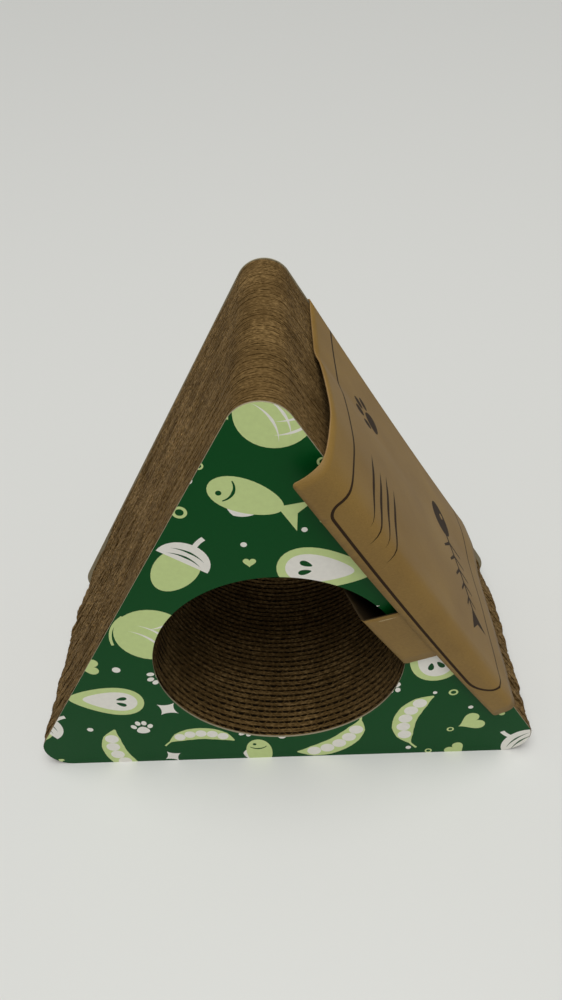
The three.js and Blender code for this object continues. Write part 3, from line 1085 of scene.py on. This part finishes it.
def kraft_board(name, dark, light, roughness, gloss):
    material, tree, shader = new_material(name, roughness, gloss)
    place = add(tree, "ShaderNodeTexCoord").outputs["Object"]
    fleck_scale = [1 / (FLECK_LENGTH * MM), 1 / (FLECK_WIDTH * MM), 1 / (FLECK_WIDTH * MM)]
    stretched = add(tree, "ShaderNodeVectorMath", [place, fleck_scale], operation="MULTIPLY")
    flecks = add(tree, "ShaderNodeTexNoise", {"Vector": stretched, "Scale": 1.0, "Detail": 3.0})
    cloud_scale = 1 / (BOARD_CLOUD * MM)
    cloud = add(tree, "ShaderNodeTexNoise", {"Vector": place, "Scale": cloud_scale, "Detail": 3.0})
    both = add(tree, "ShaderNodeMath", [flecks, cloud], operation="ADD")
    share = add(tree, "ShaderNodeMapRange", [both, *TONE_RANGE])
    tone = add(tree, "ShaderNodeMix", {0: share, 6: linear(dark), 7: linear(light)}, data_type="RGBA")
    bump = add(tree, "ShaderNodeBump", {"Height": flecks, "Distance": 0.05 * MM, "Strength": 0.4})
    tree.links.new(tone.outputs[2], shader.inputs["Base Color"])
    tree.links.new(bump.outputs[0], shader.inputs["Normal"])
    return material


BOARD, INK, SCUFF, EDGE, SHADED_SIDE = range(5)
sleeve_materials = [
    kraft_board("uncoated kraft board", KRAFT_DARK, KRAFT_LIGHT, roughness=0.6, gloss=0.4),
    kraft_board("brown ink on kraft board", KRAFT_INK, KRAFT_INK, roughness=0.7, gloss=0.12),
    kraft_board("scuffed kraft board", KRAFT_LIGHT, KRAFT_SCUFF, roughness=0.9, gloss=0.25),
    kraft_board("cut edge of kraft board", KRAFT_DARK, KRAFT_EDGE, roughness=0.9, gloss=0.25),
    kraft_board("kraft board in painted shade", *KRAFT_SHADE_TONES, roughness=0.9, gloss=0.25),
]
print("sleeve materials:", ", ".join(material.name for material in sleeve_materials))

# %% [markdown]
# ## Smooth lines
# A bent board seen edge-on is a smooth line through a few points. A Catmull-Rom spline passes through its
# points, and its centripetal form does so without loops or overshoot where they lie close together. The
# line is then divided evenly, because board can bend but not stretch.

# %% Smooth lines
SECTION_STEPS = 96


def smooth_line(points, steps=12):
    """A centripetal Catmull-Rom spline through the points."""
    points = [Vector(point) for point in points]
    ends = [2 * points[0] - points[1], *points, 2 * points[-1] - points[-2]]
    line = []
    for a, b, c, d in zip(ends, ends[1:], ends[2:], ends[3:]):
        before, span, after = (math.sqrt((q - p).length) for p, q in ((a, b), (b, c), (c, d)))
        for step in range(steps):
            at = span * step / steps
            first = a.lerp(b, (before + at) / before)
            second = b.lerp(c, at / span)
            third = c.lerp(d, (at - span) / after)
            left = first.lerp(second, (before + at) / (before + span))
            right = second.lerp(third, at / (span + after))
            line.append(left.lerp(right, at / span))
    return line + [points[-1]]


def evenly(line, count):
    """The same line with its points at even distances."""
    lengths = [0.0]
    for start, end in zip(line, line[1:]):
        lengths.append(lengths[-1] + (end - start).length)
    spaced, place = [], 0
    for number in range(count + 1):
        target = lengths[-1] * number / count
        while place < len(line) - 2 and lengths[place + 1] < target:
            place += 1
        share = (target - lengths[place]) / (lengths[place + 1] - lengths[place])
        spaced.append(line[place].lerp(line[place + 1], share))
    return spaced


def point_at(line, share):
    """A point on an evenly spaced line, at a share of its length."""
    slot = min(max(share, 0), 1) * (len(line) - 1)
    low = min(int(slot), len(line) - 2)
    return line[low].lerp(line[low + 1], slot - low)


print("points along a section:", SECTION_STEPS + 1)

# %% [markdown]
# ## How the sleeve bends
# The board was never scored, so it keeps the soft shape that hands gave it: tight round the block's edge
# at the bottom, wide and bowed at the top. Three cross-sections say how, each as a few points of depth
# behind the front cover and height off the slanted face, in millimetres. The shape between the sections
# is blended along the slope, and kept clear of the block's edges.

# %% How the sleeve bends
BOARD_THICKNESS = 0.8
PANEL_BOTTOM, PANEL_MIDDLE, PANEL_TOP = -108.5, -14.0, 113.5
BOTTOM_SECTION = [
    (-2.6, -12.4), (-2.5, -7), (-2.4, -2.9), (-2.0, -1.0), (-1.0, 0.5), (0.6, 1.5), (2.6, 1.85),
    (14.5, 1.9), (24, 2.3), (44, 2.2), (60, 2.4), (72, 2.2), (84, 1.9), (96, 1.8), (106, 1.9), (120, 3.1),
    (134, 3.8), (148.5, 2.8), (160, 1.6), (166, 0.2), (169.5, -5), (171, -12), (171.5, -16),
]
MIDDLE_SECTION = [
    (-5.4, -16.3), (-4.7, -8.5), (-3.1, -2), (0.6, 1.6), (6, 2.3), (16, 2.7), (32, 3.6), (60, 4.4),
    (92, 3.6), (124, 2.8), (142, 2.2), (149.4, 1.9), (151.6, 0.7), (152.6, -2), (153.6, -10),
    (154.6, -18.5),
]
TOP_SECTION = [
    (-9.9, -16.4), (-9.3, -8.5), (-5.4, -0.9), (0.5, 2.1), (6.6, 3.7), (17, 5.5), (30, 6.9), (52, 6.0),
    (66, 4.9), (77, 3.7), (84, 2.2), (90, 1.3), (100, 1.2), (140, 1.2), (149.6, 1.3), (151.8, 0.3),
    (153, -3), (154.4, -9), (155, -17),
]
LEAST_CLEARANCE = BOARD_THICKNESS + 0.2
BLOCK_DEPTH = BACK_Y - FRONT_Y

sections = [
    evenly(smooth_line(points), SECTION_STEPS)
    for points in (BOTTOM_SECTION, MIDDLE_SECTION, TOP_SECTION)
]


def panel_section(share, rise):
    """Depth and height of the panel's outer side, at a share of its width and a place up the slope."""
    bottom, middle, top = (point_at(line, share) for line in sections)
    up = (rise - PANEL_BOTTOM) / (PANEL_TOP - PANEL_BOTTOM)
    knee = (PANEL_MIDDLE - PANEL_BOTTOM) / (PANEL_TOP - PANEL_BOTTOM)
    return clear_of_block(
        bottom * ((up - knee) * (up - 1) / knee)
        + middle * (up * (up - 1) / (knee * (knee - 1)))
        + top * (up * (up - knee) / (1 - knee))
    )


def clear_of_block(point):
    """The same point, or one just off the block's edge where the blended shape would cut into it."""
    depth = min(max(point.x, 0), BLOCK_DEPTH)
    nearest = Vector((depth, min(point.y, 0)))
    away = point - nearest
    if away.length >= LEAST_CLEARANCE:
        return point
    if away.length < SAME_POINT:
        front = depth < BLOCK_DEPTH / 2
        nearest = Vector((0 if front else BLOCK_DEPTH, 0))
        away = Vector((-1 if front else 1, 1))
    return nearest + away.normalized() * LEAST_CLEARANCE


def on_leg(depth, off, rise):
    return LEG_FOOT + SLOPE_UP * rise + SLOPE_OUT * off + Vector((0, FRONT_Y + depth, 0))


for name, line in zip(("bottom", "middle", "top"), sections):
    print(f"sleeve {name}: {sum((b - a).length for a, b in zip(line, line[1:])):.1f} mm round")

# %% [markdown]
# ## The outer panel's print
# One dark ink: a fine line runs round the panel inside its edges, with a fish's bones, a paw print and
# claw marks. Places are flat millimetres, across the blank from its front edge and up the slope from the
# leg's foot. Long edges get more points, so that they can follow the bends.

# %% The outer panel's print
BLANK_WIDTH = 191
GRID_ACROSS = 2.4
GRID_UP = 6.0
LINE_WIDTH = 1.6
LINE_CORNERS = {"bottom": 21, "top": 7}
LINE_INSET = {"side": 3.0, "bottom": 19.5, "top": 22}
LINE_SLANT = 2.5 / 150
FISH = {"middle": (88, -52), "size": 96, "turn": math.radians(-70)}
PAW = {"middle": (119, 58), "size": 28}
CLAW_STROKES = {"radius": 190, "start": 82, "end": 98, "widths": [0, 1.1, 1.3, 0.8, 0]}
CLAW_PLACES = [(38, 46), (42, 54), (37, 62), (43, 70)]


def rounded_rectangle(left, bottom, right, top, low_radius, high_radius, steps=10):
    points = []
    for quarter, (x, z, radius) in enumerate((
        (right - low_radius, bottom + low_radius, low_radius),
        (right - high_radius, top - high_radius, high_radius),
        (left + high_radius, top - high_radius, high_radius),
        (left + low_radius, bottom + low_radius, low_radius),
    )):
        for step in range(steps + 1):
            angle = math.pi / 2 * (quarter - 1 + step / steps)
            points.append((x + radius * math.cos(angle), z + radius * math.sin(angle)))
    return points


def dense(points, step):
    """The same closed outline, with more points along its long edges."""
    closer = []
    for start, end in zip(points, [*points[1:], points[0]]):
        start, end = Vector(start), Vector(end)
        parts = math.ceil((end - start).length / step)
        closer += [start.lerp(end, part / parts) for part in range(parts)]
    return closer


def fish_bones():
    """A fish's bones, one unit long, with the head up."""
    shapes = [
        (INK, [(-0.012, -0.38), (0.012, -0.38), (0.016, 0.26), (-0.016, 0.26)]),
        (INK, egg(0.12, 0.02, 0.14, (0, 0.34))),
        (INK, [(0, -0.33), (0.13, -0.5), (0, -0.45), (-0.13, -0.5)]),
        (BOARD, disc(0.024, (0.045, 0.37))),
    ]
    for rib in range(5):
        root, reach = 0.14 - 0.1 * rib, 0.17 - 0.022 * rib
        for tip in (-reach, reach):
            shapes.append(
                (INK, [(0, root + 0.014), (0, root - 0.014), (tip, root - 0.075), (tip, root - 0.058)]))
    return shapes


def panel_print():
    left, right = LINE_INSET["side"], BLANK_WIDTH - LINE_INSET["side"]
    low, high = PANEL_BOTTOM + LINE_INSET["bottom"], PANEL_TOP - LINE_INSET["top"]
    outlines = []
    for ink, inset in ((INK, 0), (BOARD, LINE_WIDTH)):
        frame_line = rounded_rectangle(
            left + inset, low + inset, right - inset, high - inset,
            LINE_CORNERS["bottom"] - inset, LINE_CORNERS["top"] - inset)
        slanted = [(across + LINE_SLANT * up, up) for across, up in frame_line]
        outlines.append((ink, dense(slanted, GRID_ACROSS)))
    outlines += [(ink, placed(points, **FISH)) for ink, points in fish_bones()]
    outlines += [(INK, placed(points, **PAW)) for _, points in paw()]
    for across, up in CLAW_PLACES:
        outlines.append((INK, ribbon(middle=(across, up - CLAW_STROKES["radius"]), **CLAW_STROKES)))
    return outlines


print("panel print:", len(panel_print()), "outlines")

# %% [markdown]
# ## The outer panel
# The panel is printed flat and then bent, like the real blank. The mesh is cut flat with a grid of extra
# points, so that it has enough faces to follow the bends, and each flat point is then moved to its place
# on the leg. The panel hangs a little askew, so its back edge sits higher than its front.

# %% The outer panel
PANEL_CORNER = 2.0
SKEW = 2.5 / 150


def grid_points(left, bottom, right, top):
    """Points inside a rectangle, at about the grid's steps."""
    across = round((right - left) / GRID_ACROSS)
    up = round((top - bottom) / GRID_UP)
    return [
        (left + (right - left) * column / across, bottom + (top - bottom) * row / up)
        for column in range(1, across) for row in range(1, up)
    ]


def bend_panel(flat):
    depth, off = panel_section(flat.x / BLANK_WIDTH, flat.y)
    return on_leg(depth, off, flat.y + SKEW * depth)


def board_piece(name, mesh, rim, offset):
    mesh.polygons.foreach_set("use_smooth", [True] * len(mesh.polygons))
    return thick_piece(name, mesh, sleeve_materials, BOARD_THICKNESS * MM, SHADED_SIDE, rim, offset)


panel_edges = (0, PANEL_BOTTOM, BLANK_WIDTH, PANEL_TOP)
panel_outline = dense(rounded_rectangle(*panel_edges, PANEL_CORNER, PANEL_CORNER), GRID_ACROSS)
panel_mesh = printed_blank(
    "panel", panel_outline, [], panel_print(), grid_points(*panel_edges), bend_panel)
sleeve = board_piece("kraft_sleeve", panel_mesh, rim=EDGE, offset=-1)
print("outer panel:", len(sleeve.data.polygons), "faces")

# %% [markdown]
# ## Straps and inner panel
# A strap comes out from behind each lip, crosses the end of the block, folds into the tunnel and meets
# the other as the inner panel, which leans a little and is higher than the straps. They are one band, so
# one path goes from lip to lip, with a small round at each fold. The scuff is a short pale graze where the
# strap rubs. The band and the outer panel are one blank, so their meshes are joined.

# %% Straps and inner panel
STRAP_BOTTOM, STRAP_TOP = -36.3, 8.2
STRAP_LENGTH = 20
TAB_LENGTH = 8
TUCK = 1.6 * BOARD_THICKNESS
INNER_TOP = 23.3
INNER_OFF = -35.9
INNER_LEAN = 2.6 / 44.5
INNER_SETBACK, INNER_TAPER = 2.5, 10
FOLD_CLEARANCE = 0.7
FOLD_RADIUS = 1.6
FOLD_STEPS = 6
SCUFF_LENGTH, SCUFF_HEIGHT, SCUFF_DROP = 10.5, 0.7, 3.2
SCUFF_PLACE = 0.58
BAND_LENGTH = 2 * (TAB_LENGTH + STRAP_LENGTH) + BLOCK_DEPTH + 2 * FOLD_CLEARANCE
BAND_STEPS = 160


def strap_end(rise, front):
    """Start and edge of the tab behind a lip, and the fold into the tunnel, as depths and heights."""
    edge = panel_section(0 if front else 1, rise)
    above = panel_section(TAB_LENGTH / BLANK_WIDTH if front else 1 - TAB_LENGTH / BLANK_WIDTH, rise)
    along = (above - edge).normalized()
    inward = Vector((abs(along.y), -along.x if front else along.x)) * (1 if front else -1)
    fold_depth = -FOLD_CLEARANCE if front else BLOCK_DEPTH + FOLD_CLEARANCE
    fold_off = INNER_OFF - INNER_LEAN * (rise - STRAP_BOTTOM)
    return [above + inward * TUCK, edge + inward * TUCK, Vector((fold_depth, fold_off))]


def round_corners(points, radius):
    rounded = [points[0]]
    for before, corner, after in zip(points, points[1:], points[2:]):
        start = corner + (before - corner).normalized() * radius
        end = corner + (after - corner).normalized() * radius
        for step in range(FOLD_STEPS + 1):
            share = step / FOLD_STEPS
            rounded.append(start.lerp(corner, share).lerp(corner.lerp(end, share), share))
    return rounded + [points[-1]]


band_paths = {}


def bend_band(flat):
    rise = round(flat.y, 3)
    if rise not in band_paths:
        corners = strap_end(rise, front=False) + strap_end(rise, front=True)[::-1]
        band_paths[rise] = evenly(round_corners(corners, FOLD_RADIUS), BAND_STEPS)
    depth, off = point_at(band_paths[rise], flat.x / BAND_LENGTH)
    return on_leg(depth, off, flat.y)


fold = TAB_LENGTH + STRAP_LENGTH
shoulder = fold + INNER_SETBACK
corner = shoulder + INNER_TAPER
band_outline = [
    (0, STRAP_BOTTOM), (BAND_LENGTH, STRAP_BOTTOM), (BAND_LENGTH, STRAP_TOP),
    (BAND_LENGTH - shoulder, STRAP_TOP), (BAND_LENGTH - corner, INNER_TOP),
    (corner, INNER_TOP), (shoulder, STRAP_TOP), (0, STRAP_TOP),
]
scuff_middle = (BAND_LENGTH - fold + SCUFF_PLACE * STRAP_LENGTH, STRAP_TOP - SCUFF_DROP)
scuff = egg(SCUFF_HEIGHT / 2, 0, SCUFF_LENGTH / 2, scuff_middle, math.pi / 2)
band_mesh = printed_blank(
    "band", dense(band_outline, GRID_ACROSS), [], [(SCUFF, scuff)],
    grid_points(0, STRAP_BOTTOM, BAND_LENGTH, INNER_TOP), bend_band)
# The band's cut edges take the dark inside colour, as painted shade.
band = board_piece("kraft_band", band_mesh, rim=SHADED_SIDE, offset=0)

both = bmesh.new()
both.from_mesh(sleeve.data)
both.from_mesh(band.data)
both.to_mesh(sleeve.data)
both.free()
bpy.data.objects.remove(band)
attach(sleeve, "sleeve")
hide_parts("sleeve")
print("sleeve:", len(sleeve.data.polygons), "faces")

# %% [markdown]
# Soft board and torn card may stand a little proud of the imported model, but the object keeps its size. So
# the last line prints how far the pieces reach outside the imported model's box.

visual_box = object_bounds()
proud = max((visual_box[1] - cad_box[1])[:] + (cad_box[0] - visual_box[0])[:])
print(f"size: at most {proud / MM:.1f} mm outside the packed model")
